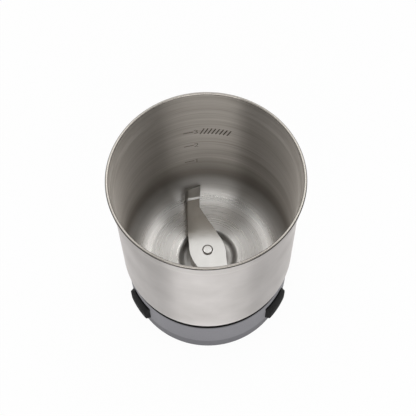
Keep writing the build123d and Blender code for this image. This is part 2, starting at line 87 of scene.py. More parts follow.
# spindle and its spacer
RIVET_R = 2.65
RIVET_LAND = 2.1          # radius of the head's flat top
RIVET_TOP = 31.0
RIVET_EDGE = 0.45         # fall from the flat top to the head's side
SHANK_R = 2.08            # waist inside the blade and its spacer
SHAFT_R = 2.5
SHAFT_TOP = 26.4          # the waist begins here
SHAFT_FOOT = 4.2
CLIP_R = 2.05             # circlip groove
CLIP_LOW, CLIP_HIGH = 10.15, 10.85
SPACER_BORE = 2.12
SPACER_R = 5.2

# seal cap and bearing housing
CAP_BORE = 2.9
CAP_R = 7.24
CAP_WALL = 0.4
CAP_FOOT, CAP_TOP = 23.0, 26.0
HOUSING_BORE = 4.52
HOUSING_R = 6.52          # tube below the flange
HOUSING_FOOT = 11.4
FLANGE_R = 9.0
FLANGE_LOW, FLANGE_HIGH = 20.9, 22.4
COLLAR_R = 6.82           # boss above the flange
POCKET_R = 5.02           # holds the shaft seal
POCKET_FOOT = 22.6

# seat seal
SEAL_IN = 33.0
SEAL_WALL = 37.6          # outer side, inside the skirt
SEAL_OUT = 39.5           # edge of the lip over the skirt
SEAL_FOOT = 22.3
SEAL_LIP, SEAL_TOP = 26.42, 27.1
SEAL_START, SEAL_SWEEP = -65.3, 25.25     # hollow face, as angles round the centre of the cup's corner

# skirt and lugs
SKIRT_R = 39.7
GROOVE_LOW, GROOVE_HIGH = 8.2, 8.8        # fine groove round the skirt
GROOVE_BLUR = 0.02
LUG_R = 41.85
LUG_BACK = 36.9
LUG_FOOT = 9.0
LUG_SHOULDER = 17.0
LUG_TOP = 21.7
LUG_HALF = 11.2           # half its angle round the axis
LUG_TAPER = 1.6           # degrees less at the outer face
LUG_CROWN = 0.85          # share of its angle left at its top
LUG_SLOPE = 0.7           # share of its depth beyond the skirt that is gone at its top
LUG_CORNER = 0.9          # rounding of its outer corners in plan
LUG_SOFT = 0.6            # rounding of its top and foot
LUG_LEAN = 2.5            # degrees by which the tops of the side lugs lean to the front
ROOT_IN, ROOT_OUT = 36.4, 37.6            # flange that holds a lug inside the skirt
ROOT_MARGIN = 1.2         # it reaches this much lower and higher than the lug's straight part
ROOT_SPREAD = 1.8         # and this many degrees further round at each end
ROOT_SHOULDER = 13.0
ROOT_SOFT = 0.1

# fill marks
MARK_HEIGHTS = (76.5, 64.3, 49.5)
LEVEL_AZIMUTH = 105.0
NUMERAL_AZIMUTH = 97.6
HATCH_AZIMUTH = 93.5
HATCH_PITCH = 2.6         # degrees from stroke to stroke
HATCH_COUNT = 8
MARK_SUNK = 0.02          # the marks' edges lie this deep in the wall


# ---------------------------------------------------------------- outlines and grids


def rounded(corners, radii, segments=8):
    """Polyline through corners, each inner corner replaced by a circular arc, or kept where its radius is 0.

    An arc of radius R at a corner that turns by angle a starts R * tan(a / 2) before the
    corner and ends as far after it; its centre lies on the corner's bisector.
    """
    corners = np.asarray(corners, float)
    runs = [corners[:1]]
    for before, corner, after, radius in zip(corners[:-2], corners[1:-1], corners[2:], radii):
        inward = (before - corner) / np.linalg.norm(before - corner)
        onward = (after - corner) / np.linalg.norm(after - corner)
        if radius == 0:
            runs.append(corner[None])
            continue
        half = np.arccos(np.clip(inward @ onward, -1, 1)) / 2
        bisector = (inward + onward) / np.linalg.norm(inward + onward)
        centre = corner + bisector * radius / np.sin(half)
        start = corner + inward * radius / np.tan(half) - centre
        end = corner + onward * radius / np.tan(half) - centre
        sweep = np.pi - 2 * half
        t = np.linspace(0, 1, segments + 1)[:, None]
        runs.append(centre + (np.sin((1 - t) * sweep) * start + np.sin(t * sweep) * end) / np.sin(sweep))
    runs.append(corners[-1:])
    return np.concatenate(runs)


def softened(corners, radii, segments=4):
    """Closed outline with every corner replaced by an arc, or kept where its radius is 0."""
    corners = np.asarray(corners, float)
    ring = np.concatenate([corners[-1:], corners, corners[:1]])
    return rounded(ring, np.broadcast_to(radii, len(corners)), segments)[1:-1]


def arc(centre, radius, start, sweep, segments):
    """Points centre + radius * (cos a, sin a) for angles a from start to start + sweep, in degrees."""
    a = np.radians(start + sweep * np.linspace(0, 1, segments + 1))
    return np.stack([centre[0] + radius * np.cos(a), centre[1] + radius * np.sin(a)], axis=1)


def thickened(path, sheet):
    """Closed outline of a sheet: a path, and the path moved by the sheet's thickness to its right."""
    step = np.gradient(path, axis=0)
    step /= np.linalg.norm(step, axis=1)[:, None]
    outside = path + sheet * np.stack([step[:, 1], -step[:, 0]], axis=1)
    return np.concatenate([path, outside[::-1]])


def divided(profile, longest):
    """The same outline with points added along runs longer than the given length."""
    ends = np.roll(profile, -1, axis=0)
    counts = np.maximum(1, np.ceil(np.linalg.norm(ends - profile, axis=1) / longest)).astype(int)
    index = np.repeat(np.arange(len(profile)), counts)
    share = np.concatenate([np.arange(n) / n for n in counts])[:, None]
    return profile[index] * (1 - share) + ends[index] * share


def eased(value, low, high):
    """0 below low, 1 above high, and the smooth curve t * t * (3 - 2 t) between them."""
    t = np.clip((value - low) / (high - low), 0, 1)
    return t * t * (3 - 2 * t)


def grid_faces(rows, columns, wrap_rows, wrap_columns):
    """Quads between neighbours (i, j) and (i + 1, j + 1) of a grid, joined end to end where it wraps."""
    i = np.arange(rows if wrap_rows else rows - 1)[:, None]
    j = np.arange(columns if wrap_columns else columns - 1)[None, :]
    i_next, j_next = (i + 1) % rows, (j + 1) % columns
    quad = [i * columns + j, i_next * columns + j, i_next * columns + j_next, i * columns + j_next]
    return np.stack(quad, axis=-1).reshape(-1, 4)


def make_piece(name, points, faces, material, slot, body, nodes=(), marks=None, crease=35):
    """Mesh object from vertex and face arrays.

    Doubles are merged and faces turned outwards. Edges that turn by more than the crease
    angle are sharp. marks are named values per vertex, for the material to read.
    """
    mesh = bpy.data.meshes.new(name)
    mesh.from_pydata((points * MM).tolist(), [], faces.tolist())
    for mark, values in (marks or {}).items():
        layer = mesh.attributes.new(mark, "FLOAT", "POINT")
        layer.data.foreach_set("value", np.ascontiguousarray(values, dtype=np.float32))
    bm = bmesh.new()
    bm.from_mesh(mesh)
    bmesh.ops.remove_doubles(bm, verts=bm.verts, dist=2e-7)
    bmesh.ops.dissolve_degenerate(bm, edges=bm.edges, dist=1e-8)
    bmesh.ops.recalc_face_normals(bm, faces=bm.faces)
    bm.to_mesh(mesh)
    bm.free()
    mesh.polygons.foreach_set("use_smooth", np.ones(len(mesh.polygons), dtype=bool))
    mesh.set_sharp_from_angle(angle=np.radians(crease))
    mesh.materials.append(material)
    piece = bpy.data.objects.new(name, mesh)
    bpy.context.scene.collection.objects.link(piece)
    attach(piece, body)
    if nodes:
        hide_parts(*nodes)
    return piece


def turned(name, profile, segments=160):
    """Name, points and faces of a surface of revolution.

    The profile's (r, z) at azimuth a goes to (r cos a, r sin a, z).
    """
    a = np.arange(segments)[:, None] / segments * TAU
    r, z = profile[None, :, 0], profile[None, :, 1]
    points = np.stack([r * np.cos(a), r * np.sin(a), z + 0 * a], axis=-1).reshape(-1, 3)
    return name, points, grid_faces(segments, len(profile), True, True)


def capped(rows):
    """Rows of points, closed by one more row at each end, shrunk to the end row's middle."""
    first, last = rows[:1].mean(axis=1, keepdims=True), rows[-1:].mean(axis=1, keepdims=True)
    shape = rows[:1].shape
    return np.concatenate([np.broadcast_to(first, shape), rows, np.broadcast_to(last, shape)])


# ---------------------------------------------------------------- materials


def linear(colour):
    """Linear RGBA of an sRGB hex colour.

    Each channel c becomes c / 12.92 up to 0.04045, and ((c + 0.055) / 1.055) ** 2.4 above it.
    """
    c = np.array([int(colour[k:k + 2], 16) for k in (1, 3, 5)]) / 255
    return (*np.where(c <= 0.04045, c / 12.92, ((c + 0.055) / 1.055) ** 2.4), 1.0)


def add(tree, kind, sockets=None, **settings):
    """Add a node, set its properties, and fill its inputs: a socket is linked, anything else is its value."""
    node = tree.nodes.new(kind)
    for key, value in settings.items():
        setattr(node, key, value)
    for key, value in (sockets or {}).items():
        if isinstance(value, bpy.types.NodeSocket):
            tree.links.new(value, node.inputs[key])
        else:
            node.inputs[key].default_value = value
    return node


def started(name):
    """Empty node material, and the piece's own coordinates in metres."""
    material = bpy.data.materials.new(name)
    material.use_nodes = True
    tree = material.node_tree
    tree.nodes.clear()
    return material, tree, add(tree, "ShaderNodeTexCoord").outputs["Object"]


def finished(material, tree, sockets):
    """The material, closed by a Principled shader with these inputs."""
    shader = add(tree, "ShaderNodeBsdfPrincipled", sockets)
    add(tree, "ShaderNodeOutputMaterial", {"Surface": shader.outputs[0]})
    return material


def lathe_rings(tree, place, along_mm, round_share):
    """Coordinates for lines that run round the axis.

    X counts radius plus height in steps of along_mm. Y and Z are the direction from the
    axis, scaled by round_share, so a pattern changes slowly on the way round.
    """
    flat = add(tree, "ShaderNodeVectorMath", {0: place, 1: (1, 1, 0)}, operation="MULTIPLY").outputs[0]
    radius = add(tree, "ShaderNodeVectorMath", {0: flat}, operation="LENGTH").outputs["Value"]
    around = add(tree, "ShaderNodeVectorMath", {0: flat}, operation="NORMALIZE").outputs[0]
    around = add(tree, "ShaderNodeSeparateXYZ", {0: around}).outputs
    height = add(tree, "ShaderNodeSeparateXYZ", {0: place}).outputs["Z"]
    run = add(tree, "ShaderNodeMath", {0: radius, 1: height}, operation="ADD").outputs[0]
    rings = add(tree, "ShaderNodeCombineXYZ", {"X": run, "Y": around["X"], "Z": around["Y"]}).outputs[0]
    scale = (1000.0 / along_mm, round_share, round_share)
    return add(tree, "ShaderNodeVectorMath", {0: rings, 1: scale}, operation="MULTIPLY").outputs[0]


def drawn_stainless():
    """Austenitic stainless sheet, deep drawn, then satin polished on a turning wheel.

    To the eye: a pale warm grey with fine lines round the axis. The bore's wall keeps the
    darker film of the drawing, with painted shade at its foot, and the floor is spin-brushed in bright rings.
    """
    material, tree, place = started("drawn_stainless_satin")
    bore = add(tree, "ShaderNodeAttribute", attribute_name="bore").outputs["Fac"]
    floor = add(tree, "ShaderNodeAttribute", attribute_name="floor").outputs["Fac"]
    # Polishing lines are about 0.1 mm apart on the real sheet; here 0.5 mm, so that they show.
    fine = add(tree, "ShaderNodeTexNoise",
               {"Vector": lathe_rings(tree, place, 0.5, 0.7), "Scale": 1.0, "Detail": 2.0}).outputs[0]
    # Bands of a few millimetres, where the wheel dwelt.
    broad = add(tree, "ShaderNodeTexNoise",
                {"Vector": lathe_rings(tree, place, 5.0, 0.8), "Scale": 1.0, "Detail": 2.0}).outputs[0]
    # Clouds of about 20 mm in the surface film.
    cloud = add(tree, "ShaderNodeTexNoise", {"Vector": place, "Scale": 50.0, "Detail": 3.0}).outputs[0]
    outer = add(tree, "ShaderNodeMix", {0: cloud, 6: linear("#BFBBB8"), 7: linear("#E5E1DF")},
                data_type="RGBA").outputs[2]
    bands = add(tree, "ShaderNodeMix", {0: 0.6, 2: broad, 3: fine}, data_type="FLOAT").outputs[0]
    bands = add(tree, "ShaderNodeMapRange", {"Value": bands, "From Min": 0.3, "From Max": 0.7}).outputs[0]
    film = add(tree, "ShaderNodeMix", {0: bands, 6: linear("#A19A92"), 7: linear("#C5C0B9")},
               data_type="RGBA").outputs[2]
    rings = add(tree, "ShaderNodeMix", {0: fine, 6: linear("#D6D3CE"), 7: linear("#F8F6F3")},
                data_type="RGBA").outputs[2]
    # Painted shade: the corner and the foot of the wall are darkest, and the shade fades on the way up.
    height = add(tree, "ShaderNodeSeparateXYZ", {0: place}).outputs["Z"]
    foot = add(tree, "ShaderNodeMapRange",
               {"Value": height, "From Min": FOOT_SHADE_LOW * MM, "From Max": FOOT_SHADE_HIGH * MM,
                "To Min": 1.0, "To Max": 0.0}, interpolation_type="SMOOTHSTEP").outputs[0]
    film = add(tree, "ShaderNodeMix", {0: foot, 6: film, 7: linear("#89827A")}, data_type="RGBA").outputs[2]
    tint = add(tree, "ShaderNodeMix", {0: bore, 6: outer, 7: film}, data_type="RGBA").outputs[2]
    tint = add(tree, "ShaderNodeMix", {0: floor, 6: tint, 7: rings}, data_type="RGBA").outputs[2]
    dull = add(tree, "ShaderNodeMapRange", {"Value": floor, "To Min": 0.46, "To Max": 0.25}).outputs[0]
    rough = add(tree, "ShaderNodeMapRange", {"Value": fine, "From Min": 0.3, "From Max": 0.7,
                                             "To Min": 0.0, "To Max": 0.08}).outputs[0]
    rough = add(tree, "ShaderNodeMath", {0: rough, 1: dull}, operation="ADD").outputs[0]
    bump = add(tree, "ShaderNodeBump", {"Strength": 0.12, "Distance": 0.02 * MM, "Height": fine}).outputs[0]
    tangent = add(tree, "ShaderNodeTangent", direction_type="RADIAL", axis="Z").outputs[0]
    return finished(material, tree, {"Base Color": tint, "Metallic": 1.0, "Roughness": rough, "Normal": bump,
                                     "Tangent": tangent, "Anisotropic": 1.0, "Anisotropic Rotation": 0.25})


def buffed_stainless():
    """The same sheet where the rim is rolled over and buffed on a cloth wheel.

    To the eye: a narrow bright bead. A band on its outer side carries painted shade, near
    black, which draws a thin line round the rim.
    """
    material, tree, place = started("buffed_stainless_bead")
    under = add(tree, "ShaderNodeAttribute", attribute_name="under").outputs["Fac"]
    # Buffing marks of about 0.4 mm run along the bead.
    marks = add(tree, "ShaderNodeTexNoise",
                {"Vector": lathe_rings(tree, place, 0.4, 2.0), "Scale": 1.0, "Detail": 2.0}).outputs[0]
    tint = add(tree, "ShaderNodeMix", {0: marks, 6: linear("#A8A39C"), 7: linear("#B8B3AC")},
               data_type="RGBA").outputs[2]
    rough = add(tree, "ShaderNodeMapRange", {"Value": marks, "From Min": 0.3, "From Max": 0.7,
                                             "To Min": 0.2, "To Max": 0.3}).outputs[0]
    # Painted shade: the band on the curl's outer side turns near black, a thin dark line round the rim.
    tint = add(tree, "ShaderNodeMix", {0: under, 6: tint, 7: linear("#37332F")}, data_type="RGBA").outputs[2]
    return finished(material, tree, {"Base Color": tint, "Metallic": 1.0, "Roughness": rough})


def polished_stainless():
    """Hardened stainless plate, tumbled to a soft polish, with its cutting edges ground across.

    To the eye: clear reflections with soft, slightly smeared edges, a duller, finely
    scratched bevel, and satin tips where the plate was pressed to shape.
    """
    material, tree, place = started("polished_stainless_plate")
    ground = add(tree, "ShaderNodeAttribute", attribute_name="ground").outputs["Fac"]
    bent = add(tree, "ShaderNodeAttribute", attribute_name="bent").outputs["Fac"]
    # Grinding scratches are 0.05 mm apart; here 0.35 mm, and 30 times as long across the edge.
    stretched = add(tree, "ShaderNodeMapping", {"Vector": place, "Scale": (100.0, 2800.0, 100.0)}).outputs[0]
    scratches = add(tree, "ShaderNodeTexNoise", {"Vector": stretched, "Scale": 1.0, "Detail": 2.0}).outputs[0]
    # Smears of about 6 mm.
    smears = add(tree, "ShaderNodeTexNoise", {"Vector": place, "Scale": 160.0, "Detail": 3.0}).outputs[0]
    plain = add(tree, "ShaderNodeMapRange", {"Value": smears, "From Min": 0.35, "From Max": 0.7,
                                             "To Min": 0.11, "To Max": 0.15}).outputs[0]
    edge = add(tree, "ShaderNodeMath", {0: ground, 1: 0.08}, operation="MULTIPLY").outputs[0]
    dull = add(tree, "ShaderNodeMath", {0: bent, 1: 0.2, 2: edge}, operation="MULTIPLY_ADD").outputs[0]
    rough = add(tree, "ShaderNodeMath", {0: plain, 1: dull}, operation="ADD").outputs[0]
    depth = add(tree, "ShaderNodeMath", {0: scratches, 1: ground}, operation="MULTIPLY").outputs[0]
    bump = add(tree, "ShaderNodeBump", {"Strength": 0.4, "Distance": 0.02 * MM, "Height": depth}).outputs[0]
    tint = add(tree, "ShaderNodeMix", {0: smears, 6: linear("#D4D2CE"), 7: linear("#DDDBD7")},
               data_type="RGBA").outputs[2]
    return finished(material, tree, {"Base Color": tint, "Metallic": 1.0, "Roughness": rough, "Normal": bump})


def moulded(name, colour, pale, least_rough, most_rough, grain_mm, depth_mm, specular):
    """Moulded plastic or rubber: one colour with slight clouding, and a fine eroded grain from the mould."""
    material, tree, place = started(name)
    # Clouds of about 17 mm.
    cloud = add(tree, "ShaderNodeTexNoise", {"Vector": place, "Scale": 60.0, "Detail": 2.0}).outputs[0]
    grain = add(tree, "ShaderNodeTexNoise",
                {"Vector": place, "Scale": 1000.0 / grain_mm, "Detail": 2.0}).outputs[0]
    tint = add(tree, "ShaderNodeMix", {0: cloud, 6: linear(colour), 7: linear(pale)},
               data_type="RGBA").outputs[2]
    rough = add(tree, "ShaderNodeMapRange", {"Value": grain, "From Min": 0.3, "From Max": 0.7,
                                             "To Min": least_rough, "To Max": most_rough}).outputs[0]
    bump = add(tree, "ShaderNodeBump",
               {"Strength": 0.5, "Distance": depth_mm * MM, "Height": grain}).outputs[0]
    return finished(material, tree, {"Base Color": tint, "Roughness": rough, "Normal": bump,
                                     "Specular IOR Level": specular})


def banded_skirt():
    """Moulded ABS, with an upper band and a lower band under a fine groove.

    To the eye: an even, faintly violet grey, a thin dark line of painted shade, and a band below it darkened
    by painted shade.
    """
    material, tree, place = started("satin_grey_abs")
    # Clouds of about 17 mm.
    cloud = add(tree, "ShaderNodeTexNoise", {"Vector": place, "Scale": 60.0, "Detail": 2.0}).outputs[0]
    # Eroded grain of 0.5 mm.
    grain = add(tree, "ShaderNodeTexNoise", {"Vector": place, "Scale": 2000.0, "Detail": 2.0}).outputs[0]
    height = add(tree, "ShaderNodeSeparateXYZ", {0: place}).outputs["Z"]
    over_groove, over_band = (
        add(tree, "ShaderNodeMapRange", {"Value": height, "From Min": (level - GROOVE_BLUR) * MM,
                                         "From Max": (level + GROOVE_BLUR) * MM}).outputs[0]
        for level in (GROOVE_HIGH, GROOVE_LOW))
    smooth = add(tree, "ShaderNodeMix", {0: cloud, 6: linear("#77767B"), 7: linear("#807F84")},
                 data_type="RGBA").outputs[2]
    # Painted shade: the band below the groove is a darker grey.
    painted_shade_band = add(tree, "ShaderNodeMix", {0: cloud, 6: linear("#616065"), 7: linear("#6A696E")},
                 data_type="RGBA").outputs[2]
    # Painted shade: between the groove's two heights the skirt is a near-black line.
    below = add(tree, "ShaderNodeMix", {0: over_band, 6: painted_shade_band, 7: linear("#2E2D30")},
                data_type="RGBA").outputs[2]
    tint = add(tree, "ShaderNodeMix", {0: over_groove, 6: below, 7: smooth}, data_type="RGBA").outputs[2]
    rough = add(tree, "ShaderNodeMapRange", {"Value": grain, "From Min": 0.3, "From Max": 0.7,
                                             "To Min": 0.42, "To Max": 0.55}).outputs[0]
    bump = add(tree, "ShaderNodeBump", {"Strength": 0.5, "Distance": 0.02 * MM, "Height": grain}).outputs[0]
    return finished(material, tree, {"Base Color": tint, "Roughness": rough, "Normal": bump,
                                     "Specular IOR Level": 0.5})


def turned_metal(name, colour, pale, least_rough, most_rough, pitch_mm):
    """Metal turned on a lathe: feed lines round the axis at a given pitch, paler on their crests."""
    material, tree, place = started(name)
    lines = add(tree, "ShaderNodeTexNoise",
                {"Vector": lathe_rings(tree, place, pitch_mm, 0.8), "Scale": 1.0, "Detail": 2.0}).outputs[0]
    tint = add(tree, "ShaderNodeMix", {0: lines, 6: linear(colour), 7: linear(pale)},
               data_type="RGBA").outputs[2]
    rough = add(tree, "ShaderNodeMapRange", {"Value": lines, "From Min": 0.3, "From Max": 0.7,
                                             "To Min": least_rough, "To Max": most_rough}).outputs[0]
    bump = add(tree, "ShaderNodeBump", {"Strength": 0.3, "Distance": 0.02 * MM, "Height": lines}).outputs[0]
    return finished(material, tree, {"Base Color": tint, "Metallic": 1.0, "Roughness": rough, "Normal": bump})


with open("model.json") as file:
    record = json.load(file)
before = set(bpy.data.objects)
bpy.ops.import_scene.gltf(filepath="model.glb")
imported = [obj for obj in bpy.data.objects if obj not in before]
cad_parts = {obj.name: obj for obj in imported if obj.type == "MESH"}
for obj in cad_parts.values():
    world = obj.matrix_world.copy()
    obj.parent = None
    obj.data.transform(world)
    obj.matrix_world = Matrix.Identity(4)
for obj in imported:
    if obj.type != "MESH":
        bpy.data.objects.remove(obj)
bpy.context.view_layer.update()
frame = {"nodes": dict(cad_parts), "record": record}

cup_steel = drawn_stainless()
rim_steel = buffed_stainless()
blade_steel = polished_stainless()
skirt_abs = banded_skirt()
# Glass-filled nylon: near black, matt, with a slightly coarser grain.
black_nylon = moulded("glass_filled_nylon_black", "#040405", "#080809", least_rough=0.55, most_rough=0.75,
                      grain_mm=0.45, depth_mm=0.03, specular=0.14)
# Moulded nitrile rubber: black and quite dull.
black_rubber = moulded("moulded_rubber_black", "#090909", "#101010", least_rough=0.65, most_rough=0.8,
                       grain_mm=0.6, depth_mm=0.02, specular=0.25)
# Zinc-plated steel: bright, slightly cool, with turned lines.
zinc_steel = turned_metal("zinc_plated_steel", "#B2B4B6", "#C4C6C8", least_rough=0.22, most_rough=0.34,
                          pitch_mm=0.3)
# Die-cast aluminium, turned where it seals: soft grey with visible feed lines.
cast_aluminium = turned_metal("turned_aluminium_casting", "#B4B0A9", "#CAC6BF", least_rough=0.3,
                              most_rough=0.45, pitch_mm=0.4)
# Sintered bronze: brown, porous, dull.
bronze = turned_metal("sintered_bronze", "#86623B", "#967149", least_rough=0.4, most_rough=0.55,
                      pitch_mm=0.5)
by_slot = {
    "cup_steel": cup_steel,
    "blade_steel": blade_steel,
    "screw_steel": zinc_steel,
    "cast_aluminium": cast_aluminium,
    "sintered_bronze": bronze,
    "grey_plastic": skirt_abs,
    "black_nylon": black_nylon,
    "black_rubber": black_rubber,
}
for subpart in frame["record"]["subparts"]:
    carried = frame["nodes"][subpart["node"]]
    carried.data.materials.clear()
    carried.data.materials.append(by_slot[subpart["material_slot"]])

# ---------------------------------------------------------------- cup


def cup_profile():
    """Inside skin from the well's hole over the floor, corner, wall and neck to the curl's end, thickened."""
    inside = rounded(
        [(WELL_HOLE, WELL_TOP), (WELL_FLAT, WELL_TOP), (WELL_LIP, FLOOR_TOP), (WALL_R, FLOOR_TOP),
         (WALL_R, NECK_FOOT), (NECK_R, NECK_HEAD), (NECK_R, RIM_TOP - CURL_R)],
        [2.2, 2.6, FLOOR_ARC, 4.2, 4.2], segments=10)
    curl = arc((NECK_R + CURL_R, RIM_TOP - CURL_R), CURL_R, start=180, sweep=-270, segments=30)
    skin = np.concatenate([inside[:-1], curl])
    sheet = np.where(np.arange(len(skin)) < len(inside) - 1, SHEET, CURL_R - CURL_CORE)
    return divided(thickened(skin, sheet[:, None]), longest=4.0)


def cup_marks(profile, segments):
    """Where the bore's film, the brushed floor and the painted shade band on the rolled rim are, from 0 to 1.

    A point is on the bore's side when it lies less than half a sheet outside the inside skin,
    measured from the corner's centre line only outwards and downwards. The neck is wider by
    its step. The points over the well's bottom are on the bore's side too. Round the curl,
    0 degrees points away from the axis and 90 degrees up.
    """
    r, z = profile.T
    spare = 0.5           # allowance for the neck's rounded corners
    step = (NECK_R - WALL_R) * eased(z, NECK_FOOT - spare, NECK_HEAD + spare)
    reach = np.hypot(np.maximum(r - step - CORNER_R, 0), np.minimum(z - CORNER_Z, 0))
    inside = (reach < FLOOR_ARC + SHEET / 2) | ((r < WELL_LIP + 0.3) & (z > WELL_TOP - 0.05))
    bore = inside * eased(z, FILM_LOW, FILM_HIGH)
    out_of_well = eased(r, WELL_LIP - 1.5, WELL_LIP + 0.7)
    floor = inside * (1 - eased(z, BRUSHED_LOW, BRUSHED_HIGH)) * (0.75 + 0.25 * out_of_well)
    round_curl = np.degrees(np.arctan2(z - RIM_TOP + CURL_R, r - NECK_R - CURL_R))
    # Painted shade: the band round the curl's outer side, which the bead's finish darkens.
    under = (r > NECK_R + CURL_R) * (1 - eased(round_curl, *SHADE_BAND_END)) * eased(round_curl, *SHADE_BAND_START)
    marks = (("bore", bore), ("floor", floor), ("under", under))
    return {name: np.tile(values, segments) for name, values in marks}


cup_outline = cup_profile()
cup = make_piece(*turned("cup_sheet", cup_outline, CUP_SEGMENTS), cup_steel, "cup_steel", "cup_unit",
                 ["grinding_cup"], cup_marks(cup_outline, CUP_SEGMENTS), crease=50)
# The rolled rim is buffed brighter than the sheet: its faces take the second finish.
cup.data.materials.append(rim_steel)
middles = np.empty(len(cup.data.polygons) * 3)
cup.data.polygons.foreach_get("center", middles)
middles = middles.reshape(-1, 3) / MM
on_rim = (middles[:, 2] > RIM_TOP - 2 * CURL_R) & (np.hypot(middles[:, 0], middles[:, 1]) > NECK_R + 0.02)
cup.data.polygons.foreach_set("material_index", on_rim.astype(np.int32))

# ---------------------------------------------------------------- blade


def blade_rows():
    """Distances along the blade at which its section is laid, and the length of its flat part.

    The steps are 0.25 mm beside the hub, 0.6 mm along the arm and 0.25 mm towards the bend.
    """
    flat_end = BEND_Y - BEND_R * np.tan(BEND_ANGLE / 2)
    flat = np.concatenate([np.linspace(0, 12, 49), np.linspace(12.4, 21, 15),
                           np.linspace(21.3, flat_end, 26)])
    bend = flat_end + BEND_R * BEND_ANGLE * np.linspace(0, 1, 15)[1:]
    tip = bend[-1] + np.array([TIP * 0.5, TIP - BREAK, TIP - 0.3 * BREAK, TIP])
    arm = np.concatenate([flat, bend, tip])
    return np.concatenate([-arm[:0:-1], arm]), flat_end


def right_edge(y):
    """x of the blade's right-hand edge at y: trailing edge, diagonal, hub, flare and leading edge."""
    far = 60              # well beyond the tips
    outline = rounded(
        [(-TRAIL_X, far), (-TRAIL_X, DIAGONAL_START), (HUB_X, DIAGONAL_END), (HUB_X, -FLARE_START),
         (EDGE_X, -FLARE_END), (EDGE_X, -far)],
        [1.5, 16.0, 5.0, 12.0], segments=16)[::-1]
    return np.interp(y, outline[:, 1], outline[:, 0])


def blade_section(along, run, inset):
    """Plate's cross-sections, one row per place: x, height over the plate's middle, and how far ground.

    The corners are broken by BREAK. Beyond GRIND_X the top falls by GRIND_SLOPE times the
    distance, and the ground edges fade in beside the hub. The crease between the top and a
    ground edge stays at least 0.2 mm from the plate's side. A point 0.04 mm beyond it and one
    0.06 mm before it keep it crisp.
    """
    right, left = right_edge(along) - inset, -right_edge(-along) + inset
    half = PLATE / 2 - inset
    fall = GRIND_SLOPE * eased(run, GRIND_LOW, GRIND_HIGH)
    cut_r = np.maximum(0, right - GRIND_X) * fall
    cut_l = np.maximum(0, -left - GRIND_X) * fall
    crease_r = np.minimum(right - 0.2, GRIND_X)
    crease_l = np.maximum(left + 0.2, -GRIND_X)
    past_r, past_l = crease_r + 0.04, crease_l - 0.04
    e = BREAK
    across = [
        (left + e, -half), (right - e, -half), (right - 0.3 * e, -half + 0.3 * e), (right, -half + e),
        (right, half - cut_r - e), (right - 0.3 * e, half - cut_r - 0.3 * e),
        (right - e, half - cut_r + 0.5 * e),
        (past_r, half - np.maximum(0, past_r - GRIND_X) * fall),
        (crease_r - 0.06, half), (0.5 * (crease_l + crease_r), half), (crease_l + 0.06, half),
        (past_l, half - np.maximum(0, -past_l - GRIND_X) * fall),
        (left + e, half - cut_l + 0.5 * e),
        (left + 0.3 * e, half - cut_l - 0.3 * e), (left, half - cut_l - e),
        (left, -half + e), (left + 0.3 * e, -half + 0.3 * e),
    ]
    x, height = np.array(across).transpose(1, 2, 0)
    ground = np.zeros(x.shape)
    ground[:, 4:8] = np.clip(cut_r / GROUND_DEPTH, 0, 1)[:, None]
    ground[:, 11:15] = np.clip(cut_l / GROUND_DEPTH, 0, 1)[:, None]
    return x, height, ground


def blade_points():
    """Blade surface and its marks: row s is the place along the arm, column c the place round the section.

    Beyond the start of the bend a row is carried round a circle of radius BEND_R by the angle
    (s - start) / BEND_R, up to the bend's whole angle, and then straight on, where the length
    is multiplied by a share that grows evenly from the leading to the trailing side. Rows near
    the bend lean until they lie along it. The last rows shrink by the edge's rounding. The flat
    plate rises by BOW * (s / start) ** 2.
    """
    s, flat_end = blade_rows()
    side = np.where(s < 0, -1.0, 1.0)[:, None]
    run = np.abs(s)
    inset = BREAK * eased(run, run.max() - BREAK, run.max())
    on_flat = np.minimum(run, flat_end)[:, None]
    x, height, ground = blade_section((on_flat * side)[:, 0], run, inset)
    run = run[:, None]
    middle = -side * (EDGE_X + TRAIL_X) / 2
    offset = (x - middle) * side
    lean = eased(run, LEAN_START, flat_end) * np.tan(SKEW)
    lift = np.clip((run - flat_end) / BEND_R, 0, BEND_ANGLE)
    length = TIP_MIDDLE + TIP_SLANT * 2 * offset / (EDGE_X - TRAIL_X)
    beyond = np.maximum(0, run - flat_end - BEND_R * BEND_ANGLE) * length
    out = BEND_R * np.sin(lift) + beyond * np.cos(lift) * np.cos(SKEW) - height * np.sin(lift)
    up = BEND_R * (1 - np.cos(lift)) + beyond * np.sin(lift) * np.cos(SKEW) + height * np.cos(lift)
    slip = BEND_R * lift * np.tan(SKEW) + beyond * np.sin(SKEW)
    px = np.where(lift > 0, offset - out * np.sin(SKEW) + slip * np.cos(SKEW), offset)
    py = np.where(lift > 0, flat_end + offset * np.tan(SKEW) + out * np.cos(SKEW) + slip * np.sin(SKEW),
                  on_flat + offset * lean)
    pz = BLADE_TOP - PLATE / 2 + up + BOW * (on_flat / flat_end) ** 2
    points = np.stack([middle + px * side, py * side, pz], axis=-1)
    # The satin of the pressed tips begins 0.8 mm before the bend and is full 0.6 mm into it.
    pressed = eased(run, flat_end - 0.8, flat_end + 0.6) + 0 * x
    marks = {name: np.concatenate([mark[:1], mark, mark[-1:]]).ravel()
             for name, mark in (("ground", ground), ("bent", pressed))}
    return capped(points), marks


blade_grid, blade_marks = blade_points()
make_piece("blade_plate", blade_grid.reshape(-1, 3), grid_faces(*blade_grid.shape[:2], False, True),
           blade_steel, "blade_steel", "spindle", ["blade"], blade_marks, crease=25)

# ---------------------------------------------------------------- spindle, spacer, seal cap, housing


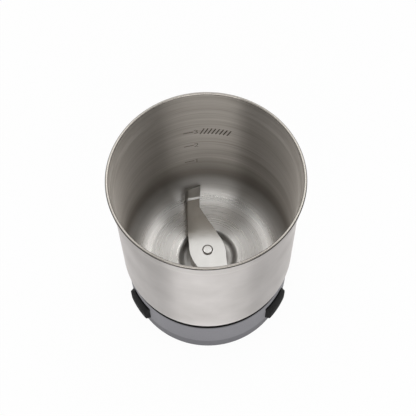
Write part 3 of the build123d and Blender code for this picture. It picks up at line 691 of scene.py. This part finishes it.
def rivet_and_shaft():
    """Outline of the shaft with its clip groove, its waist inside the blade, and its peened head.

    The head has a flat land and a sloping, rolled-over edge.
    """
    head = rounded([(0, RIVET_TOP), (RIVET_LAND, RIVET_TOP), (RIVET_R, RIVET_TOP - RIVET_EDGE),
                    (RIVET_R, BLADE_TOP), (SHANK_R, BLADE_TOP)], [0.5, 0.2, 0.02], segments=6)
    chamfer = 0.2
    shaft = [(SHANK_R, SHAFT_TOP), (SHAFT_R, SHAFT_TOP), (SHAFT_R, CLIP_HIGH), (CLIP_R, CLIP_HIGH),
             (CLIP_R, CLIP_LOW), (SHAFT_R, CLIP_LOW), (SHAFT_R, SHAFT_FOOT + chamfer),
             (SHAFT_R - chamfer, SHAFT_FOOT), (0, SHAFT_FOOT)]
    return np.concatenate([head, shaft])


make_piece(*turned("rivet_and_shaft", rivet_and_shaft(), 96), blade_steel, "blade_steel", "spindle",
           ["spindle"], crease=30)

spacer_top = BLADE_TOP - PLATE - SEAT
spacer_outline = softened([(SPACER_BORE, SHAFT_TOP), (SPACER_R, SHAFT_TOP), (SPACER_R, spacer_top),
                           (SPACER_BORE, spacer_top)], [0.05, 0.4, 0.4, 0.05])
make_piece(*turned("spacer_collar", spacer_outline, 96), blade_steel, "blade_steel", "spindle",
           ["blade_spacer"])

cap_inside = CAP_TOP - CAP_WALL
cap_outline = softened(
    [(CAP_BORE, cap_inside), (CAP_R - CAP_WALL, cap_inside), (CAP_R - CAP_WALL, CAP_FOOT), (CAP_R, CAP_FOOT),
     (CAP_R, CAP_TOP), (CAP_BORE, CAP_TOP)], [0.05, 0.05, 0.1, 0.1, 0.4, 0.1])
make_piece(*turned("seal_cap_pressing", cap_outline, 96), blade_steel, "blade_steel", "cup_unit",
           ["seal_cap"])

housing_outline = softened(
    [(HOUSING_BORE, HOUSING_FOOT), (HOUSING_R, HOUSING_FOOT), (HOUSING_R, FLANGE_LOW), (FLANGE_R, FLANGE_LOW),
     (FLANGE_R, FLANGE_HIGH), (COLLAR_R, FLANGE_HIGH), (COLLAR_R, cap_inside), (POCKET_R, cap_inside),
     (POCKET_R, POCKET_FOOT), (HOUSING_BORE, POCKET_FOOT)],
    [0.1, 0.4, 0.05, 0.1, 0.35, 0.3, 0.15, 0.1, 0.05, 0.05])
make_piece(*turned("bearing_housing_casting", housing_outline, 128), cast_aluminium, "cast_aluminium",
           "cup_unit", ["bearing_housing"])

# ---------------------------------------------------------------- seat seal
seal_face = arc((CORNER_R, CORNER_Z), FLOOR_ARC + SHEET + SEAT, SEAL_START, SEAL_SWEEP, 16)
seal_lip = softened([(SEAL_WALL, SEAL_LIP), (SEAL_OUT, SEAL_LIP), (SEAL_OUT, SEAL_TOP),
                     (SEAL_WALL + 0.1, SEAL_TOP)], [0.05, 0.2, 0.25, 0.0])[:-1]
seal_outline = np.concatenate([seal_face, seal_lip[::-1], [(SEAL_WALL, SEAL_FOOT), (SEAL_IN, SEAL_FOOT)]])
make_piece(*turned("seat_seal_ring", seal_outline, 192), black_rubber, "black_rubber", "cup_unit",
           ["seat_gasket"])

# ---------------------------------------------------------------- bayonet lugs


def moulded_block(outline, foot, shoulder, top, crown, lean, slope, soft, azimuth):
    """Block over a closed plan outline: each level is the outline moved inwards along its own normal.

    At foot and top the edge is rounded by a radius R: the inset is R - R * sin t and the level
    R - R * cos t from the face, for t over a quarter turn. Above the shoulder every point's
    angle round the axis is multiplied by a share that falls evenly from 1 to crown at the top,
    the block leans round the axis by up to lean degrees, and what stands beyond the skirt is
    multiplied by a share that falls to 1 - slope.
    """
    step = np.roll(outline, -1, axis=0) - np.roll(outline, 1, axis=0)
    step /= np.linalg.norm(step, axis=1)[:, None]
    inward = np.stack([-step[:, 1], step[:, 0]], axis=1)
    t = np.linspace(0, np.pi / 2, 7)
    drawn_in, from_face = soft - soft * np.sin(t), soft - soft * np.cos(t)
    inset = np.concatenate([drawn_in, [0.0], drawn_in[::-1]])[:, None, None]
    level = np.concatenate([foot + from_face, [shoulder], (top - from_face)[::-1]])[:, None]
    flat = outline[None] + inset * inward[None]
    rise = np.clip((level - shoulder) / (top - shoulder), 0, 1)
    radius = np.hypot(flat[..., 0], flat[..., 1])
    radius = radius - slope * rise * np.maximum(0, radius - SKIRT_R)
    turn = np.arctan2(flat[..., 1], flat[..., 0]) * (1 - (1 - crown) * rise)
    turn = turn + np.radians(azimuth + lean * rise)
    rows = capped(np.stack([radius * np.cos(turn), radius * np.sin(turn), level + 0 * radius], axis=-1))
    return rows.reshape(-1, 3), grid_faces(*rows.shape[:2], False, True)


def polar(corners):
    """Plan points from (radius, degrees) pairs."""
    radius, angle = np.asarray(corners, float).T
    return np.stack([radius * np.cos(np.radians(angle)), radius * np.sin(np.radians(angle))], axis=1)


def lug_outline():
    """Counter-clockwise plan of a lug: straight ends through the skirt, slanted beyond it, curved face."""
    tip = LUG_HALF - LUG_TAPER
    face = [(LUG_R, a) for a in np.linspace(-tip, tip, 15)]
    back = [(LUG_BACK, a) for a in np.linspace(LUG_HALF, -LUG_HALF, 9)]
    corners = polar([*face, (SKIRT_R, LUG_HALF), *back, (SKIRT_R, -LUG_HALF)])
    radii = np.zeros(len(corners))
    radii[[0, len(face) - 1]] = LUG_CORNER
    return softened(corners, radii, 8)


def root_outline():
    """Counter-clockwise plan of the curved flange that holds a lug inside the skirt."""
    wide = LUG_HALF + ROOT_SPREAD
    outside = [(ROOT_OUT, a) for a in np.linspace(-wide, wide, 15)]
    return polar(outside + [(ROOT_IN, a) for a in np.linspace(wide, -wide, 15)])


for node, azimuth, lean in (("bayonet_lug_rear", 90.0, 0.0), ("bayonet_lug_left", 211.8, LUG_LEAN),
                            ("bayonet_lug_right", 326.0, -LUG_LEAN)):
    block, block_faces = moulded_block(lug_outline(), LUG_FOOT, LUG_SHOULDER, LUG_TOP, LUG_CROWN, lean,
                                       LUG_SLOPE, LUG_SOFT, azimuth)
    root, root_faces = moulded_block(root_outline(), LUG_FOOT - ROOT_MARGIN, ROOT_SHOULDER,
                                     LUG_SHOULDER + ROOT_MARGIN, crown=1.0, lean=0.0, slope=0.0,
                                     soft=ROOT_SOFT, azimuth=azimuth)
    make_piece(node.replace("bayonet_lug", "lug_block"), np.concatenate([block, root]),
               np.concatenate([block_faces, root_faces + len(block)]), black_nylon, "black_nylon",
               "cup_unit", [node])

# ---------------------------------------------------------------- fill marks


def pressed_line(points, width, proud, azimuth, height):
    """Closed ribbon on the bore's wall along (across, up) points, counted from a place on the wall.

    Across is laid round the wall, so it becomes the azimuth across / wall radius. The section is a
    low trapezoid, half as wide at its top. It stands proud of the wall towards the axis.
    """
    points = np.asarray(points, float)
    step = np.gradient(points, axis=0)
    step /= np.linalg.norm(step, axis=1)[:, None]
    side = np.stack([-step[:, 1], step[:, 0]], axis=1)
    offset = np.array([-0.5, -0.25, 0.25, 0.5])[None, :, None] * width
    flat = points[:, None, :] + offset * side[:, None, :]
    radius = WALL_R + MARK_SUNK - (proud + MARK_SUNK) * np.array([0, 1, 1, 0])[None, :]
    turn = np.radians(azimuth) - flat[..., 0] / WALL_R
    rows = capped(np.stack([radius * np.cos(turn), radius * np.sin(turn), height + flat[..., 1]], axis=-1))
    return rows.reshape(-1, 3), grid_faces(*rows.shape[:2], False, True)


def fill_mark_lines():
    """Three level lines with plain numerals 3 to 1 from the top, and a slanted hatch beside the top one."""
    level = [(0, 0), (1.6, 0), (3.2, 0), (4.8, 0)]
    slanted = [(0, -2.4), (1.0, 0), (2.0, 2.4)]
    one = [(0.3, 0.9), (0.9, 1.5), (0.9, -1.5)]
    two = [(0, 0.9), (0.4, 1.4), (1.1, 1.5), (1.7, 1.1), (1.6, 0.4), (0, -1.5), (1.8, -1.5)]
    three = [(0, 1.2), (0.8, 1.5), (1.6, 1.1), (1.4, 0.3), (0.7, 0.05),
             (1.5, -0.3), (1.7, -1.0), (0.9, -1.5), (0, -1.2)]
    strokes = []
    for height, numeral in zip(MARK_HEIGHTS, (three, two, one)):
        strokes.append(pressed_line(level, width=0.55, proud=0.05, azimuth=LEVEL_AZIMUTH, height=height))
        strokes.append(pressed_line(numeral, width=0.4, proud=0.04, azimuth=NUMERAL_AZIMUTH, height=height))
    for step in range(HATCH_COUNT):
        azimuth = HATCH_AZIMUTH - HATCH_PITCH * step
        strokes.append(pressed_line(slanted, width=0.7, proud=0.05, azimuth=azimuth, height=MARK_HEIGHTS[0]))
    return strokes


mark_strokes = fill_mark_lines()
mark_starts = np.cumsum([0] + [len(points) for points, _ in mark_strokes[:-1]])
# Pressed and laser-darkened lines: the same sheet with a brown-black oxide on it.
mark_oxide = turned_metal("laser_marked_stainless", "#57514A", "#6B655D", least_rough=0.4,
                          most_rough=0.5, pitch_mm=0.4)
make_piece("fill_marks", np.concatenate([points for points, _ in mark_strokes]),
           np.concatenate([faces + start for (_, faces), start in zip(mark_strokes, mark_starts)]),
           mark_oxide, "cup_steel", "cup_unit")

# ---------------------------------------------------------------- floor, light, camera


def seen_directly(tree):
    """1 for camera, glossy and transmission rays, 0 for the rest."""
    path = add(tree, "ShaderNodeLightPath").outputs
    pair = add(tree, "ShaderNodeMath", {0: path["Is Camera Ray"], 1: path["Is Glossy Ray"]},
               operation="MAXIMUM")
    return add(tree, "ShaderNodeMath", {0: pair.outputs[0], 1: path["Is Transmission Ray"]},
               operation="MAXIMUM").outputs[0]


def paper_floor():
    """White paper under the object: nearly all glow to the camera, part glow in gloss, matt to the rest."""
    half = 3.0
    mesh = bpy.data.meshes.new("studio_floor")
    mesh.from_pydata([(-half, -half, 0), (half, -half, 0), (half, half, 0), (-half, half, 0)],
                     [], [(0, 1, 2, 3)])
    floor = bpy.data.objects.new("studio_floor", mesh)
    bpy.context.scene.collection.objects.link(floor)
    material, tree, _ = started("studio_paper")
    mirrored = add(tree, "ShaderNodeMath", {0: seen_directly(tree), 1: 0.3}, operation="MULTIPLY").outputs[0]
    paper = add(tree, "ShaderNodeBsdfDiffuse", {"Color": (0.9, 0.9, 0.9, 1)}).outputs[0]
    glow = add(tree, "ShaderNodeEmission", {"Color": (1, 1, 1, 1), "Strength": 1.0}).outputs[0]
    camera_ray = add(tree, "ShaderNodeLightPath").outputs["Is Camera Ray"]
    share = add(tree, "ShaderNodeMix", {0: camera_ray, 2: mirrored, 3: 0.95}, data_type="FLOAT").outputs[0]
    both = add(tree, "ShaderNodeMixShader", {0: share, 1: paper, 2: glow})
    add(tree, "ShaderNodeOutputMaterial", {"Surface": both.outputs[0]})
    mesh.materials.append(material)


def pale_room():
    """White room: gloss shows a bright ceiling and far wall and dimmer sides, the camera plain white."""
    world = bpy.data.worlds.new("studio_surroundings")
    world.use_nodes = True
    bpy.context.scene.world = world
    tree = world.node_tree
    tree.nodes.clear()
    toward = add(tree, "ShaderNodeTexCoord").outputs["Generated"]
    room = add(tree, "ShaderNodeSeparateXYZ", {0: toward}).outputs
    walls = add(tree, "ShaderNodeMapRange", {"Value": room["Y"], "From Min": 0.2, "From Max": 0.7,
                                             "To Min": 0.4, "To Max": 0.9}, interpolation_type="SMOOTHSTEP")
    ceiling = add(tree, "ShaderNodeMapRange", {"Value": room["Z"], "From Min": 0.4, "From Max": 0.7,
                                               "To Min": walls.outputs[0], "To Max": 1.0},
                  interpolation_type="SMOOTHSTEP")
    level = add(tree, "ShaderNodeMapRange", {"Value": seen_directly(tree), "To Min": 0.75,
                                             "To Max": ceiling.outputs[0]}).outputs[0]
    # It is darker high up in front, in the direction from which one looks into the cup.
    facing = add(tree, "ShaderNodeVectorMath", {0: toward, 1: (0.0, -0.4, 0.917)}, operation="DOT_PRODUCT")
    shade = add(tree, "ShaderNodeMapRange", {"Value": facing.outputs["Value"], "From Min": 0.72,
                                             "From Max": 0.93, "To Min": 1.0, "To Max": 0.15},
                interpolation_type="SMOOTHSTEP").outputs[0]
    level = add(tree, "ShaderNodeMath", {0: level, 1: shade}, operation="MULTIPLY").outputs[0]
    camera_ray = add(tree, "ShaderNodeLightPath").outputs["Is Camera Ray"]
    level = add(tree, "ShaderNodeMix", {0: camera_ray, 2: level, 3: 1.0}, data_type="FLOAT").outputs[0]
    sky = add(tree, "ShaderNodeBackground", {"Color": (1, 1, 1, 1), "Strength": level})
    add(tree, "ShaderNodeOutputWorld", {"Surface": sky.outputs[0]})


def placed(name, data, right, up, back, place):
    """Object for a lamp or a camera, with these axes, at this place."""
    holder = bpy.data.objects.new(name, data)
    bpy.context.scene.collection.objects.link(holder)
    axes = np.stack([right, up, back], axis=1).tolist()
    holder.matrix_world = Matrix([(*row, p) for row, p in zip(axes, place)] + [(0, 0, 0, 1)])
    return holder


def soft_lamps():
    """Five rectangular lamps by place, watts, width and height, each turned towards the cup's middle."""
    aim = np.array([0, 0, 0.05])
    for name, place, watts, wide, tall in (("right_softbox", (0.36, 0.5, 1.15), 1.3, 0.4, 0.5),
                                           ("fill_softbox", (0.5, -0.83, 0.88), 1.2, 0.35, 0.75),
                                           ("top_softbox", (0.0, 0.03, 1.25), 0.5, 0.4, 0.35),
                                           ("left_softbox", (-0.36, 0.5, 1.15), 0.8, 0.4, 0.5),
                                           ("front_softbox", (-0.12, -0.95, 0.9), 5.9, 1.05, 0.75)):
        lamp = bpy.data.lights.new(name, "AREA")
        lamp.shape = "RECTANGLE"
        lamp.energy = watts
        lamp.size = wide
        lamp.size_y = tall
        back = np.array(place) - aim
        back /= np.linalg.norm(back)
        side = np.cross((0, 0, 1), back)
        side /= np.linalg.norm(side)
        placed(name, lamp, side, np.cross(back, side), back, place)


def camera():
    """Camera that looks down into the cup from the front, turned slightly about its own axis."""
    place = (0.0006, -0.1917, 0.4559)
    down, roll = np.radians(63.227), np.radians(-1.137)
    ahead = np.array([0, np.cos(down), -np.sin(down)])
    right = np.array([1.0, 0, 0])
    up = np.cross(right, ahead)
    data = bpy.data.cameras.new("view")
    data.sensor_fit = "HORIZONTAL"
    data.sensor_width = 36.0
    data.lens = 81.86
    data.clip_start = 0.01
    x_axis = np.cos(roll) * right + np.sin(roll) * up
    y_axis = -np.sin(roll) * right + np.cos(roll) * up
    bpy.context.scene.camera = placed("view", data, x_axis, y_axis, -ahead, place)


paper_floor()
pale_room()
soft_lamps()
camera()
bpy.context.scene.view_settings.view_transform = "Standard"
